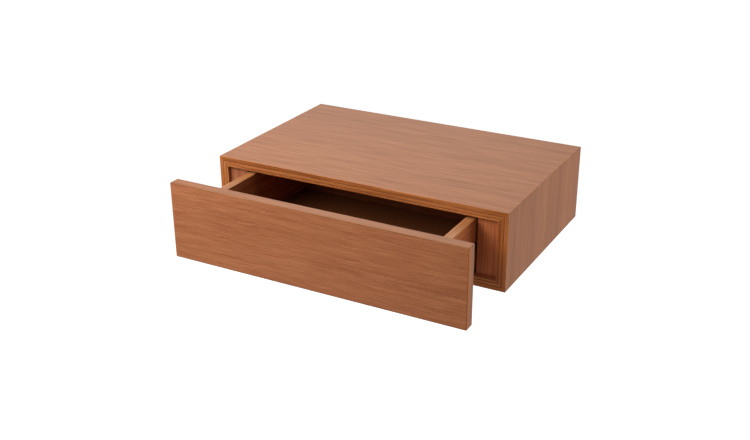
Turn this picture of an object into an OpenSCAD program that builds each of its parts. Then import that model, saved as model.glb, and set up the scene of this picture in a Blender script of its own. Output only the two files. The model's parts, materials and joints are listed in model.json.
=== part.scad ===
// Floating shelf with a drawer: a mitred box on a hidden wall bracket, and a drawer that slides
// out of it on hardwood runners. Origin on the wall, at the middle of the bracket's screw holes.
// X runs along the wall, the drawer opens towards -Y, Z is up.

/* [Box] */
// Width of the box along the wall
shelf_w = 400; // [320:1:600]
// Depth of the box from the wall to its front edge
shelf_d = 250; // [210:1:320]
// Height of the box
shelf_h = 100; // [92:1:130]
// Thickness of the four walls
wall_t = 12.5; // [11.5:0.1:15]
// Thickness of the back panel
back_t = 6; // [4:0.5:8]
// Distance from the wall to the rear face of the back panel
back_recess = 20; // [18:0.5:26]
// How far the back panel reaches into the grooves of the walls
back_tongue = 5; // [3:0.5:7]

/* [Edge bands] */
// Thickness of the bands on the front edges of the box
edge_t = 1.2; // [0.8:0.1:2]
// Width of the two fine lines cut along each band
line_w = 1.2; // [0.4:0.1:1.6]
// Depth of those lines
line_depth = 0.5; // [0.1:0.05:0.6]
// Distance from the outer face to the first line
line_outer = 5.2; // [3:0.1:6]
// Distance from the inner face to the second line
line_inner = 2.7; // [1.5:0.1:4]

/* [Fillers and runners] */
// Width of the filler strip on each side of the drawer
filler_w = 27; // [20:0.5:36]
// Thickness of the filler strips
filler_t = 12; // [10:0.5:18]
// How far the fillers stand behind the front edge
filler_recess = 5; // [2:0.5:10]
// Height of the packing rail behind each filler
rail_h = 30; // [24:0.5:32]
// Height of the runner strip
runner_h = 10; // [7:0.5:12]
// How far the runner reaches into the drawer side
runner_bite = 4; // [2.5:0.1:5]
// Gap between the rear end of the runner and the back panel
runner_rear_gap = 10; // [2:1:30]

/* [Drawer box] */
// Gap between a drawer side and the filler
side_gap = 2.5; // [1.5:0.1:4]
// Gap between the drawer sides and the top of the opening
top_gap = 3.5; // [2:0.1:6]
// Gap between the drawer sides and the bottom of the opening
bottom_gap = 1.5; // [1:0.1:3]
// Gap between the shut drawer and the back panel
rear_gap = 6; // [3:0.5:15]
// Thickness of the drawer's sides and back
side_t = 11.5; // [11:0.1:15]
// Thickness of the drawer's bottom
bottom_t = 3; // [2.5:0.1:5]
// Height of the bottom's groove above the lower edge of the sides
bottom_lift = 6; // [4:0.5:10]
// Depth of the bottom's groove
bottom_tongue = 5; // [3:0.1:5.5]
// How much lower the drawer's back is than its sides
back_drop = 3; // [0:0.5:10]
// Thickness of the bands on the drawer box
box_band_t = 0.6; // [0.4:0.1:1]

/* [Drawer front] */
// Thickness of the drawer front
front_t = 15; // [14:0.5:20]
// How far the front stops short of the box on each side
front_side_reveal = 2.5; // [0:0.1:4]
// How far the front stops short of the underside of the box
front_bottom_reveal = 1; // [0:0.1:4]
// How far the front stops short of the top of the box
front_top_reveal = 0; // [0:0.1:4]
// Thickness of the bands on the drawer front
front_band_t = 1.2; // [0.8:0.1:2]

/* [Travel] */
// How far the drawer stands open as drawn
drawer_open = 89; // [1:1:120]
// Full opening, from shut to the stop
drawer_travel = 150; // [130:1:160]

/* [Wall bracket] */
// Width of the bracket
bracket_w = 340; // [260:1:345]
// Thickness of the bracket's steel
bracket_t = 2; // [1.5:0.1:3]
// Depth of the bracket's flanges from the wall
bracket_d = 17; // [14:0.5:17.5]
// Bend radius on the outside of the bracket
bracket_r = 3.5; // [3.2:0.1:5]
// Sideways distance between the wall screw holes
wall_hole_span = 300; // [200:1:310]
// Upright distance between the wall screw holes
wall_hole_rise = 30; // [20:1:40]
// Diameter of the wall screw holes
wall_hole_d = 5.5; // [4:0.1:7]
// Sideways distance between the two lock screws
lock_span = 240; // [150:1:250]
// Thread diameter of the lock screws
lock_d = 4; // [3:0.1:5]

/* [Fasteners] */
// Diameter of the screws that hold the rails and the drawer's back
screw_d = 3.5; // [3:0.1:4]
// Diameter of the small screws in the runners and the bottom
small_screw_d = 3; // [2.5:0.1:3.2]
// How far a rail screw enters the wall
rail_screw_bite = 8; // [5:0.5:9]
// How far a runner screw enters the rail
runner_screw_bite = 9; // [6:0.5:14]
// How far a back screw enters the drawer's back
back_screw_bite = 20; // [12:1:30]
// How far a bottom screw enters the drawer's back
bottom_screw_bite = 13; // [8:1:20]
// Diameter of the dowels
dowel_d = 6; // [5:0.5:6]
// How far a dowel enters the drawer front or a filler
dowel_short = 9; // [6:0.5:9]
// How far a dowel enters the drawer side or a rail
dowel_long = 15; // [10:1:18]
// Diameter of the cam discs
cam_d = 12; // [10:0.5:12]
// Thickness of the cam discs
cam_h = 9; // [8.6:0.1:9.5]
// Distance from the drawer front to the middle of a cam disc
cam_set = 22; // [18:0.5:26]
// Diameter of the stop pegs
peg_d = 8; // [6:0.5:8]
// How far the stop pegs stand out of the drawer sides
peg_reach = 15; // [8:0.5:18]
// Distance from the top of the drawer sides down to the middle of the stop pegs
peg_drop = 12; // [9:0.5:12]
// Diameter of the heads of the stop pegs
peg_head_d = 13; // [11:0.5:14]
// Thickness of the heads of the stop pegs
peg_head_h = 2.5; // [1.5:0.1:3]

/* [Hidden] */
$fn = 48;

// Colours
foil = "#a9775a";
edge = "#b0703f";
drawer_foil = "#a5694a";
drawer_edge = "#cf9a73";
dark_foil = "#7c4a30";
hardwood = "#c99b6b";
fibreboard = "#6b4a35";
board = "#b08d66";
zinc = "#b9bcc0";
cast_zinc = "#9b9ea3";
nylon = "#e8e6df";

// Running and fitting clearances
run_gap = 0.3;     // between the runner and its groove, above and below
tip_gap = 0.5;     // between the runner and the floor of its groove
fit_gap = 0.1;     // on each side of a panel in its groove
hole_gap = 0.05;   // round a screw or a dowel in its hole
groove_gap = 0.3;  // behind the edge of a panel in its groove
shut_gap = 0.3;    // between the shut front and the box
stop_gap = 0.3;    // between the stop peg and the filler at full opening
flange_gap = 0.5;  // under the bracket
eps = 0.01;        // overrun of a cut past a face

// Opening of the box
half_w = shelf_w / 2;
half_h = shelf_h / 2;
open_x = half_w - wall_t;
open_z = half_h - wall_t;
front_y = -shelf_d;
back_y0 = -back_recess - back_t;
back_y1 = -back_recess;

// Fillers
filler_x = open_x - filler_w;
filler_y0 = front_y + filler_recess;
filler_y1 = filler_y0 + filler_t;

// Drawer box, as it stands open
box_x = filler_x - side_gap;
box_in_x = box_x - side_t;
box_z0 = -open_z + bottom_gap;
box_z1 = open_z - top_gap;
box_y0 = front_y - drawer_open;
box_l = back_y0 - rear_gap - (front_y - shut_gap);
box_y1 = box_y0 + box_l;
box_mid_z = (box_z0 + box_z1) / 2;
bottom_z0 = box_z0 + bottom_lift;
bottom_z1 = bottom_z0 + bottom_t;
back_top = box_z1 - back_drop;
drawer_back_y = box_y1 - side_t;

// Runners, level with the middle of the drawer sides
runner_x = box_x - runner_bite;
runner_y1 = back_y0 - runner_rear_gap;
runner_groove_h = runner_h + 2 * run_gap;
runner_groove_x = runner_x - tip_gap;
groove_front_gap = 3;  // from the front end of the runner to the end of its groove, drawer shut
groove_y0 = box_y0 + (filler_y1 - front_y) + shut_gap - groove_front_gap;

// Drawer front
front_x = half_w - front_side_reveal;
front_z0 = -half_h + front_bottom_reveal;
front_z1 = half_h - front_top_reveal;
front_y0 = box_y0 - front_t;

// Three screws along each rail and three along each runner, set in from the ends by these margins
rail_margin = 20;
runner_margin = 34;
rail_pitch = (back_y0 - filler_y1 - 2 * rail_margin) / 2;
runner_pitch = (runner_y1 - filler_y1 - 2 * runner_margin) / 2;
rail_screw_y = [for (i = [0:2]) filler_y1 + rail_margin + i * rail_pitch];
runner_screw_y = [for (i = [0:2]) filler_y1 + runner_margin + i * runner_pitch];
dowel_rise = 8;  // filler dowels above and below the middle of the rail

// Heights in the drawer side, counted from the runner's groove, the bottom and the top
groove_top = box_mid_z + runner_groove_h / 2;
groove_floor = box_mid_z - runner_groove_h / 2;
wood_over_groove = 5.5;
wood_over_bottom = 4;
lower_screw_gap = 3;
upper_screw_gap = 7;
cam_z = groove_top + wood_over_groove + cam_d / 2;
front_dowel_z = bottom_z1 + wood_over_bottom + dowel_d / 2;
back_screw_z = [groove_floor - lower_screw_gap - screw_d, groove_top + upper_screw_gap + screw_d];
peg_z = max(box_mid_z + rail_h / 2 + peg_d / 2 + run_gap, box_z1 - peg_drop);
peg_y = filler_y1 + stop_gap + peg_d / 2 + drawer_travel - drawer_open;

// Cam bolts and the hollows that they turn in
cam_y = box_y0 + cam_set;
side_mid_x = box_in_x + side_t / 2;
cam_bolt_d = 4;
cam_bolt_head_d = 6.4;
cam_bolt_head_l = 2.4;
cam_bolt_collar_l = 1;
cam_bolt_thread_d = 5;
cam_bolt_bite = 9;
cam_room = 0.4;        // round the bolt inside the disc
cam_slot_w = 1.6;
cam_slot_depth = 1.2;
cam_floor_gap = 0.2;   // under the disc in its hole
drill_gap = 0.5;       // past the end of a dowel or a bolt in its hole

// A block between two corners
module block(a, b) {
    translate(a) cube([b[0] - a[0], b[1] - a[1], b[2] - a[2]]);
}

// The same thing on the right and, mirrored, on the left
module both_sides() {
    children();
    mirror([1, 0, 0]) children();
}

// A round bar from a point along X or Y
module bar_x(d, x0, x1, y, z) {
    translate([x0, y, z]) rotate([0, 90, 0]) cylinder(d = d, h = x1 - x0);
}
module bar_y(d, x, y0, y1, z) {
    translate([x, y0, z]) rotate([-90, 0, 0]) cylinder(d = d, h = y1 - y0);
}

// A countersunk wood screw along +Z, its head flush with z = 0, its point at z = l. The head is
// twice as wide as the shank, with a thin rim, a 45 degree cone and a cross recess.
screw_rim = 0.2;
module screw(d, l) {
    tip = 1.2 * d;
    cross_l = 1.2 * d;
    cross_w = 0.2 * d;
    cross_depth = 0.35 * d;
    difference() {
        rotate_extrude() polygon([
            [0, 0], [d, 0], [d, screw_rim], [d / 2, screw_rim + d / 2], [d / 2, l - tip], [0, l]
        ]);
        for (a = [0, 90]) rotate([0, 0, a]) translate([-cross_l / 2, -cross_w / 2, -eps])
            cube([cross_l, cross_w, cross_depth + eps]);
    }
}

// The hole for that screw, with its countersink, open at z = 0
module screw_hole(d, l) {
    r = d / 2 + hole_gap;
    rim = screw_rim + hole_gap;
    rotate_extrude() polygon([
        [0, -eps], [r + d / 2, -eps], [r + d / 2, rim], [r, rim + d / 2], [r, l + hole_gap],
        [0, l + hole_gap]
    ]);
}

// A dowel along +Y with its ends eased, centred where the two boards meet
module dowel(d, before, after) {
    ease = 0.8;
    l = before + after;
    rotate([-90, 0, 0]) translate([0, 0, -before]) rotate_extrude() polygon([
        [0, 0], [d / 2 - ease, 0], [d / 2, ease], [d / 2, l - ease], [d / 2 - ease, l], [0, l]
    ]);
}
module dowel_hole(d, before, after) {
    translate([0, -before - drill_gap, 0]) rotate([-90, 0, 0])
        cylinder(d = d + 2 * hole_gap, h = before + after + 2 * drill_gap);
}

// Section of one mitred wall of length l, outer face up, h / 2 above the middle of the box
module mitred_section(l, h) {
    polygon([[-l / 2, h / 2], [l / 2, h / 2], [l / 2 - wall_t, h / 2 - wall_t],
             [-l / 2 + wall_t, h / 2 - wall_t]]);
}

// One wall of the box, outer face up, before it is turned to its place
module wall(l, h) {
    difference() {
        rotate([90, 0, 0]) linear_extrude(shelf_d - edge_t) mitred_section(l, h);
        block([-l / 2, back_y0 - fit_gap, h / 2 - wall_t - eps],
              [l / 2, back_y1 + fit_gap, h / 2 - wall_t + back_tongue + groove_gap]);
    }
}

// One front band, outer face up: a mitred strip with two fine lines along it
module band(l, h) {
    intersection() {
        translate([0, front_y + edge_t, 0]) rotate([90, 0, 0]) linear_extrude(edge_t) mitred_section(l, h);
        translate([-l / 2, 0, 0]) rotate([90, 0, 90]) linear_extrude(l) band_profile(h);
    }
}

// Profile of a band in Y and Z, with its two lines in the front face
module band_profile(h) {
    z1 = h / 2;
    z0 = h / 2 - wall_t;
    a = z0 + line_inner;
    b = z1 - line_outer;
    w = line_w / 2;
    f = front_y;
    polygon([
        [f, z0], [f, a - w], [f + line_depth, a], [f, a + w], [f, b - w], [f + line_depth, b],
        [f, b + w], [f, z1], [f + edge_t, z1], [f + edge_t, z0]
    ]);
}

// Turn a piece made outer face up to the bottom, left or right
module at_bottom() { rotate([0, 180, 0]) children(); }
module at_left() { rotate([0, -90, 0]) children(); }
module at_right() { rotate([0, 90, 0]) children(); }

// Walls
module top_panel() { color(foil) wall(shelf_w, shelf_h); }
module bottom_panel() {
    color(foil) difference() {
        at_bottom() wall(shelf_w, shelf_h);
        lock_places() screw_hole(lock_d, wall_t + flange_gap + bracket_t);
    }
}
module left_panel() {
    color(foil) difference() {
        at_left() wall(shelf_h, shelf_w);
        mirror([1, 0, 0]) rail_screw_places() screw_hole(screw_d, filler_w + rail_screw_bite);
    }
}
module right_panel() {
    color(foil) difference() {
        at_right() wall(shelf_h, shelf_w);
        rail_screw_places() screw_hole(screw_d, filler_w + rail_screw_bite);
    }
}

// Front edge bands
module top_edge_band() { color(edge) band(shelf_w, shelf_h); }
module bottom_edge_band() { color(edge) at_bottom() band(shelf_w, shelf_h); }
module left_edge_band() { color(edge) at_left() band(shelf_h, shelf_w); }
module right_edge_band() { color(edge) at_right() band(shelf_h, shelf_w); }

// Back panel, held in the grooves of the four walls
module back_panel() {
    x = open_x + back_tongue;
    z = open_z + back_tongue;
    color(board) block([-x, back_y0, -z], [x, back_y1, z]);
}

// Filler strip on the right, drilled for its dowels
module filler() {
    difference() {
        block([filler_x, filler_y0, -open_z], [open_x, filler_y1, open_z]);
        filler_dowel_places() dowel_hole(dowel_d, dowel_short, dowel_long);
    }
}
module left_filler() { color(dark_foil) mirror([1, 0, 0]) filler(); }
module right_filler() { color(dark_foil) filler(); }
module filler_dowel_places() {
    for (s = [-1, 1]) translate([filler_x + filler_w / 2, filler_y1, box_mid_z + s * dowel_rise])
        children();
}
module filler_dowels() {
    color(hardwood) both_sides() filler_dowel_places() dowel(dowel_d, dowel_short, dowel_long);
}

// Packing rail on the right: fills the space behind the filler and carries the runner
module packing_rail() {
    difference() {
        block([filler_x, filler_y1, box_mid_z - rail_h / 2], [open_x, back_y0, box_mid_z + rail_h / 2]);
        filler_dowel_places() dowel_hole(dowel_d, dowel_short, dowel_long);
        rail_screw_places() screw_hole(screw_d, filler_w + rail_screw_bite);
        runner_screw_places() screw_hole(small_screw_d, side_gap + runner_bite + runner_screw_bite);
    }
}
module left_packing_rail() { color(fibreboard) mirror([1, 0, 0]) packing_rail(); }
module right_packing_rail() { color(fibreboard) packing_rail(); }
module rail_screw_places() {
    for (y = rail_screw_y) translate([filler_x, y, box_mid_z]) rotate([0, 90, 0]) children();
}
module packing_rail_screws() {
    color(zinc) both_sides() rail_screw_places() screw(screw_d, filler_w + rail_screw_bite);
}

// Runner strip on the right, with a round front end that meets the round end of its groove
module runner() {
    difference() {
        union() {
            block([runner_x, filler_y1 + runner_h / 2, box_mid_z - runner_h / 2],
                  [filler_x, runner_y1, box_mid_z + runner_h / 2]);
            bar_x(runner_h, runner_x, filler_x, filler_y1 + runner_h / 2, box_mid_z);
        }
        runner_screw_places() screw_hole(small_screw_d, side_gap + runner_bite + runner_screw_bite);
    }
}
module left_runner() { color(hardwood) mirror([1, 0, 0]) runner(); }
module right_runner() { color(hardwood) runner(); }
module runner_screw_places() {
    for (y = runner_screw_y) translate([runner_x, y, box_mid_z]) rotate([0, 90, 0]) children();
}
module runner_screws() {
    color(zinc) both_sides() runner_screw_places()
        screw(small_screw_d, side_gap + runner_bite + runner_screw_bite);
}

// Wall bracket: a folded channel that the box slides over, flanges forward
module bracket_profile() {
    z1 = open_z;
    z0 = -open_z + flange_gap;
    difference() {
        bracket_outline(z0, z1, bracket_r, 0);
        bracket_outline(z0 + bracket_t, z1 - bracket_t, bracket_r - bracket_t, bracket_t);
    }
}

// Outline in Y and Z with round rear corners; the rear face is set forward by the given amount
module bracket_outline(z0, z1, r, set) {
    translate([-bracket_d - set, z0]) square([bracket_d - r, z1 - z0]);
    translate([-bracket_d, z0 + r]) square([bracket_d - set, z1 - z0 - 2 * r]);
    for (z = [z0 + r, z1 - r]) translate([-set - r, z]) circle(r = r);
}
module wall_hole_places() {
    for (x = [-1, 1], z = [-1, 1]) translate([x * wall_hole_span / 2, eps, z * wall_hole_rise / 2])
        rotate([90, 0, 0]) children();
}
module lock_places() {
    for (x = [-1, 1]) translate([x * lock_span / 2, -bracket_d / 2, -half_h]) children();
}
module wall_bracket() {
    color(zinc) difference() {
        translate([-bracket_w / 2, 0, 0]) rotate([90, 0, 90]) linear_extrude(bracket_w) bracket_profile();
        wall_hole_places() cylinder(d = wall_hole_d, h = bracket_t + 2 * eps);
        lock_places() cylinder(d = lock_d + 2 * hole_gap, h = wall_t + flange_gap + bracket_t + eps);
    }
}
module lock_screws() {
    past_flange = 4;
    color(zinc) lock_places() screw(lock_d, wall_t + flange_gap + bracket_t + past_flange);
}

// Drawer front: a slab with a band on each edge
module drawer_front() {
    b = front_band_t;
    color(drawer_foil) difference() {
        block([-front_x + b, front_y0, front_z0 + b], [front_x - b, box_y0, front_z1 - b]);
        bottom_slot();
        both_sides() front_dowel_place() dowel_hole(dowel_d, dowel_short, dowel_long);
        both_sides() bar_y(cam_bolt_thread_d + 2 * hole_gap, side_mid_x,
                           box_y0 - cam_bolt_bite - drill_gap, box_y0 + eps, cam_z);
    }
}
module front_top_band() {
    color(drawer_edge) block([-front_x, front_y0, front_z1 - front_band_t], [front_x, box_y0, front_z1]);
}
module front_bottom_band() {
    color(drawer_edge) block([-front_x, front_y0, front_z0], [front_x, box_y0, front_z0 + front_band_t]);
}
module front_end_band() {
    block([front_x - front_band_t, front_y0, front_z0 + front_band_t],
          [front_x, box_y0, front_z1 - front_band_t]);
}
module front_left_band() { color(drawer_edge) mirror([1, 0, 0]) front_end_band(); }
module front_right_band() { color(drawer_edge) front_end_band(); }

// The grooves that hold the drawer's bottom, as one flat block
module bottom_slot() {
    x = box_in_x + bottom_tongue + groove_gap;
    block([-x, box_y0 - bottom_tongue - groove_gap, bottom_z0 - fit_gap],
          [x, box_y1 + eps, bottom_z1 + fit_gap]);
}

// Drawer side on the right: runner groove outside, bottom groove inside
module drawer_side() {
    r = runner_groove_h / 2;
    difference() {
        block([box_in_x, box_y0, box_z0], [box_x, box_y1, box_z1 - box_band_t]);
        bottom_slot();
        block([runner_groove_x, groove_y0 + r, box_mid_z - r], [box_x + eps, box_y1 + eps, box_mid_z + r]);
        bar_x(2 * r, runner_groove_x, box_x + eps, groove_y0 + r, box_mid_z);
        front_dowel_place() dowel_hole(dowel_d, dowel_short, dowel_long);
        bar_y(cam_bolt_head_d + 2 * hole_gap, side_mid_x, box_y0 - eps, cam_y, cam_z);
        cam_place() translate([0, 0, -eps])
            cylinder(d = cam_d + 2 * hole_gap, h = cam_h + cam_floor_gap + eps);
        back_screw_places() screw_hole(screw_d, side_t + back_screw_bite);
        bar_x(peg_d + 2 * hole_gap, box_in_x - eps, box_x + eps, peg_y, peg_z);
        bar_x(peg_head_d + 2 * hole_gap, box_in_x - eps, box_in_x + peg_head_h + hole_gap, peg_y, peg_z);
    }
}
module drawer_left_side() { color(drawer_foil) mirror([1, 0, 0]) drawer_side(); }
module drawer_right_side() { color(drawer_foil) drawer_side(); }
module side_band() {
    block([box_in_x, box_y0, box_z1 - box_band_t], [box_x, box_y1, box_z1]);
}
module left_side_band() { color(drawer_edge) mirror([1, 0, 0]) side_band(); }
module right_side_band() { color(drawer_edge) side_band(); }

// Drawer back, between the sides and on top of the bottom
module drawer_back() {
    color(drawer_foil) difference() {
        block([-box_in_x, drawer_back_y, bottom_z1 + fit_gap], [box_in_x, box_y1, back_top - box_band_t]);
        both_sides() back_screw_places() screw_hole(screw_d, side_t + back_screw_bite);
        bottom_screw_places() screw_hole(small_screw_d, bottom_t + fit_gap + bottom_screw_bite);
    }
}
module drawer_back_band() {
    color(drawer_edge) block([-box_in_x, drawer_back_y, back_top - box_band_t], [box_in_x, box_y1, back_top]);
}

// Drawer bottom, slid in from behind under the back
module drawer_bottom() {
    x = box_in_x + bottom_tongue;
    color(board) difference() {
        block([-x, box_y0 - bottom_tongue, bottom_z0], [x, box_y1, bottom_z1]);
        bottom_screw_places() screw_hole(small_screw_d, bottom_t + fit_gap + bottom_screw_bite);
    }
}

// Dowels and cam fittings between the drawer front and the sides
module front_dowel_place() { translate([side_mid_x, box_y0, front_dowel_z]) children(); }
module front_dowels() {
    color(hardwood) both_sides() front_dowel_place() dowel(dowel_d, dowel_short, dowel_long);
}
module cam_place() { translate([box_in_x, cam_y, cam_z]) rotate([0, 90, 0]) children(); }
module cam_bolt() {
    head_y = cam_y - cam_bolt_head_l / 2;
    bar_y(cam_bolt_thread_d, side_mid_x, box_y0 - cam_bolt_bite, box_y0 + eps, cam_z);
    bar_y(cam_bolt_head_d, side_mid_x, box_y0, box_y0 + cam_bolt_collar_l, cam_z);
    bar_y(cam_bolt_d, side_mid_x, box_y0, head_y + eps, cam_z);
    bar_y(cam_bolt_head_d, side_mid_x, head_y, head_y + cam_bolt_head_l, cam_z);
}
module cam_bolts() { color(zinc) both_sides() cam_bolt(); }

// Cam disc: a drum with a hollow for the bolt's head, a mouth towards the front and a cross slot
module cam_disc() {
    hollow = cam_bolt_head_l / 2 + cam_room;
    slot_l = cam_d * 2 / 3;
    difference() {
        cam_place() cylinder(d = cam_d, h = cam_h);
        bar_y(cam_bolt_head_d + cam_room, side_mid_x, cam_y - hollow, cam_y + hollow, cam_z);
        bar_y(cam_bolt_d + cam_room, side_mid_x, cam_y - cam_d / 2 - eps, cam_y, cam_z);
        cam_place() for (a = [0, 90]) rotate([0, 0, a]) translate([-slot_l / 2, -cam_slot_w / 2, -eps])
            cube([slot_l, cam_slot_w, cam_slot_depth]);
    }
}
module cam_discs() { color(cast_zinc) both_sides() cam_disc(); }

// Screws through the drawer sides into the ends of the back, and up through the bottom
module back_screw_places() {
    for (z = back_screw_z) translate([box_x, box_y1 - side_t / 2, z]) rotate([0, -90, 0]) children();
}
module drawer_back_screws() {
    color(zinc) both_sides() back_screw_places() screw(screw_d, side_t + back_screw_bite);
}
module bottom_screw_places() {
    end_margin = 30;
    for (i = [-1:1]) translate([i * (box_in_x - end_margin), box_y1 - side_t / 2, bottom_z0])
        children();
}
module drawer_bottom_screws() {
    color(zinc) bottom_screw_places() screw(small_screw_d, bottom_t + fit_gap + bottom_screw_bite);
}

// Stop peg: pushed out through the drawer side from inside, meets the back of the filler
module stop_peg() {
    bar_x(peg_head_d, box_in_x, box_in_x + peg_head_h, peg_y, peg_z);
    bar_x(peg_d, box_in_x, box_x + peg_reach, peg_y, peg_z);
}
module left_stop_peg() { color(nylon) mirror([1, 0, 0]) stop_peg(); }
module right_stop_peg() { color(nylon) stop_peg(); }

top_panel();
bottom_panel();
left_panel();
right_panel();
top_edge_band();
bottom_edge_band();
left_edge_band();
right_edge_band();
back_panel();
left_filler();
right_filler();
filler_dowels();
left_packing_rail();
right_packing_rail();
packing_rail_screws();
left_runner();
right_runner();
runner_screws();
wall_bracket();
lock_screws();
drawer_front();
front_top_band();
front_bottom_band();
front_left_band();
front_right_band();
drawer_left_side();
drawer_right_side();
left_side_band();
right_side_band();
drawer_back();
drawer_back_band();
drawer_bottom();
front_dowels();
cam_bolts();
cam_discs();
drawer_back_screws();
drawer_bottom_screws();
left_stop_peg();
right_stop_peg();
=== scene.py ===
import json
import math

import bmesh
import bpy
from mathutils import Matrix, Vector

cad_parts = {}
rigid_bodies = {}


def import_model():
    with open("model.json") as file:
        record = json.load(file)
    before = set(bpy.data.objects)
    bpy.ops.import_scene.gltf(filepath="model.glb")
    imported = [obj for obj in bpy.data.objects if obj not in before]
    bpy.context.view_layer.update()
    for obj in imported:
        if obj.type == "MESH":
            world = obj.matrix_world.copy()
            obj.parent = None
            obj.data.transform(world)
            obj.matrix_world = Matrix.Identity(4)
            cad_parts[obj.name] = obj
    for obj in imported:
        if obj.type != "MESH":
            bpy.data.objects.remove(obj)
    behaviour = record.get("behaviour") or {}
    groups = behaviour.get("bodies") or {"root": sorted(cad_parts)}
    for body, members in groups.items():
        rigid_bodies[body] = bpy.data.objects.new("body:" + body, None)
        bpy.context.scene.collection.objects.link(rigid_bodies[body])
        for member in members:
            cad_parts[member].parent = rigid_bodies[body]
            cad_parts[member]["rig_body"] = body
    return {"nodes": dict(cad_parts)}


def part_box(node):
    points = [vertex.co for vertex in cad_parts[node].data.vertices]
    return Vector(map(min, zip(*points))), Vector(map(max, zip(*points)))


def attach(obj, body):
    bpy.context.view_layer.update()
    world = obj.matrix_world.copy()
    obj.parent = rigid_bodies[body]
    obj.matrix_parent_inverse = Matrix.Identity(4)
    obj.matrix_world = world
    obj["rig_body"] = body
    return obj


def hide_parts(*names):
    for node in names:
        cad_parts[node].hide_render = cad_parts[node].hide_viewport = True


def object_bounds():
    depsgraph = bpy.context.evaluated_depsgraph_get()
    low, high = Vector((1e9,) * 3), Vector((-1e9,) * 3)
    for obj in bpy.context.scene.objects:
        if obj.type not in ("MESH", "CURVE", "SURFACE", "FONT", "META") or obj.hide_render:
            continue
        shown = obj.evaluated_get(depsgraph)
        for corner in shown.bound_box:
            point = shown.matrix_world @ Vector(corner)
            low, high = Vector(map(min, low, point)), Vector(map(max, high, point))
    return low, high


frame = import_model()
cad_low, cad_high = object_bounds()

# The sleeve: one sheet of fibreboard, wrapped in melamine foil printed as steamed beech, V-grooved and
# folded into the box's four mitred walls. The print runs round the folds without a break. The foil is
# satin, and the board shows raw and fibrous where it is cut.
MM = 0.001
FOIL_THICKNESS = 0.2 * MM
FOIL_ROUGHNESS = 0.5
FOIL_GLOSS = 0.12
# The tones of a print: its light wood, its dark wood and its flecks. The side walls' tones are a shade
# redder, painted shade for how the light falls on them.
FOIL_FLECK = "#7A4A2E"
FOIL_TONES = ("#B67A52", "#965E3C", FOIL_FLECK)
SIDE_SHADE_TONES = ("#B5764F", "#955B3A", FOIL_FLECK)
# The length and width of the marks that a print is made of, and the detail of their noise.
PRINT_LAYERS = (
    (400 * MM, 40 * MM, 0.0),  # drifts of tone
    (240 * MM, 13 * MM, 0.0),  # bands
    (70 * MM, 3.4 * MM, 0.0),  # streaks
    (200 * MM, 1.5 * MM, 0.0),  # stripes
    (35 * MM, 1.0 * MM, 2.0),  # fine lines
)
# The figure of a print: how strong each layer is. The side walls drift more and are less streaked.
FOIL_FIGURE = (0.0, 0.5, 0.95, 0.0, 0.35)
SIDE_FIGURE = (0.9, 0.6, 0.5, 0.0, 0.3)
# What bends the grain: a slow sway, and curls where the wood is rippled.
SWAY = (120 * MM, 50 * MM)
SWAY_REACH = 7 * MM
CURL = (4.5 * MM, 6 * MM)
# Dark tongues and rays: their length and width, and the noise at which they begin and are full. Real
# rays are finer than these, which are drawn coarse enough to show.
TONGUES = (48 * MM, 5 * MM, 0.56, 0.72)
RAYS = (3 * MM, 0.5 * MM, 0.64, 0.78)
RAY_STRENGTH = 0.4
SLEEVE_FLAME = 0.22
PRINT_RELIEF = 0.02 * MM
# The stretch of the print that a piece is cut from. The four walls share theirs.
SLEEVE_CUT = 3.1
# The cut board. Its fibres are drawn coarser than real ones, so that they show.
RAW_LIGHT = "#B5946C"
RAW_DARK = "#957350"
RAW_ROUGHNESS = 0.9
RAW_FIBRE = 0.8 * MM
RAW_DETAIL = 3.0
FOLD_RADIUS = 0.6 * MM
FOLD_STEPS = 3
MITRE = math.radians(45)
# Points this near are one. Faces that turn by less than FLAT become one, and edges past SHARP are sharp.
MERGE = 0.002 * MM
FLAT = math.radians(0.5)
SHARP = math.radians(50)


def linear(code):
    """An sRGB hex value as the linear colour that a socket takes, by the curve of the sRGB standard."""
    parts = [int(code[i:i + 2], 16) / 255 for i in (1, 3, 5)]
    return [p / 12.92 if p <= 0.04045 else ((p + 0.055) / 1.055) ** 2.4 for p in parts] + [1.0]


def add(tree, kind, inputs, out=0, **settings):
    """Adds one node. An input is a value, a colour's hex code, or the output that feeds it. Returns one
    of the node's outputs."""
    node = tree.nodes.new(kind)
    for name, value in settings.items():
        setattr(node, name, value)
    for key, value in inputs.items():
        if isinstance(value, bpy.types.NodeSocket):
            tree.links.new(value, node.inputs[key])
        elif isinstance(value, str) and value.startswith("#"):
            node.inputs[key].default_value = linear(value)
        else:
            node.inputs[key].default_value = value
    return node.outputs[out] if node.outputs else None


def new_material(name):
    """A material, its empty node tree, and the output that gives the place on the piece."""
    material = bpy.data.materials.new(name)
    material.use_nodes = True
    tree = material.node_tree
    tree.nodes.clear()
    return material, tree, add(tree, "ShaderNodeTexCoord", {}, out="Object")


def surface(tree, colour, roughness, height, depth, **constants):
    """The shader: a colour, a roughness, and a relief that is as deep as given, in metres."""
    relief = add(tree, "ShaderNodeBump", {"Strength": 1.0, "Distance": depth, "Height": height})
    inputs = {"Base Color": colour, "Roughness": roughness, "Normal": relief}
    inputs.update({name.replace("_", " "): value for name, value in constants.items()})
    shader = add(tree, "ShaderNodeBsdfPrincipled", inputs)
    add(tree, "ShaderNodeOutputMaterial", {"Surface": shader})


def streaks(tree, sheet, length, width, detail=0.0):
    """Noise drawn out along the grain, in streaks of about that length and width in metres."""
    drawn = add(tree, "ShaderNodeVectorMath", {0: sheet, 1: (1 / length, 1 / width, 1)}, operation="MULTIPLY")
    return add(tree, "ShaderNodeTexNoise", {"Vector": drawn, "Scale": 1.0, "Detail": detail})


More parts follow.
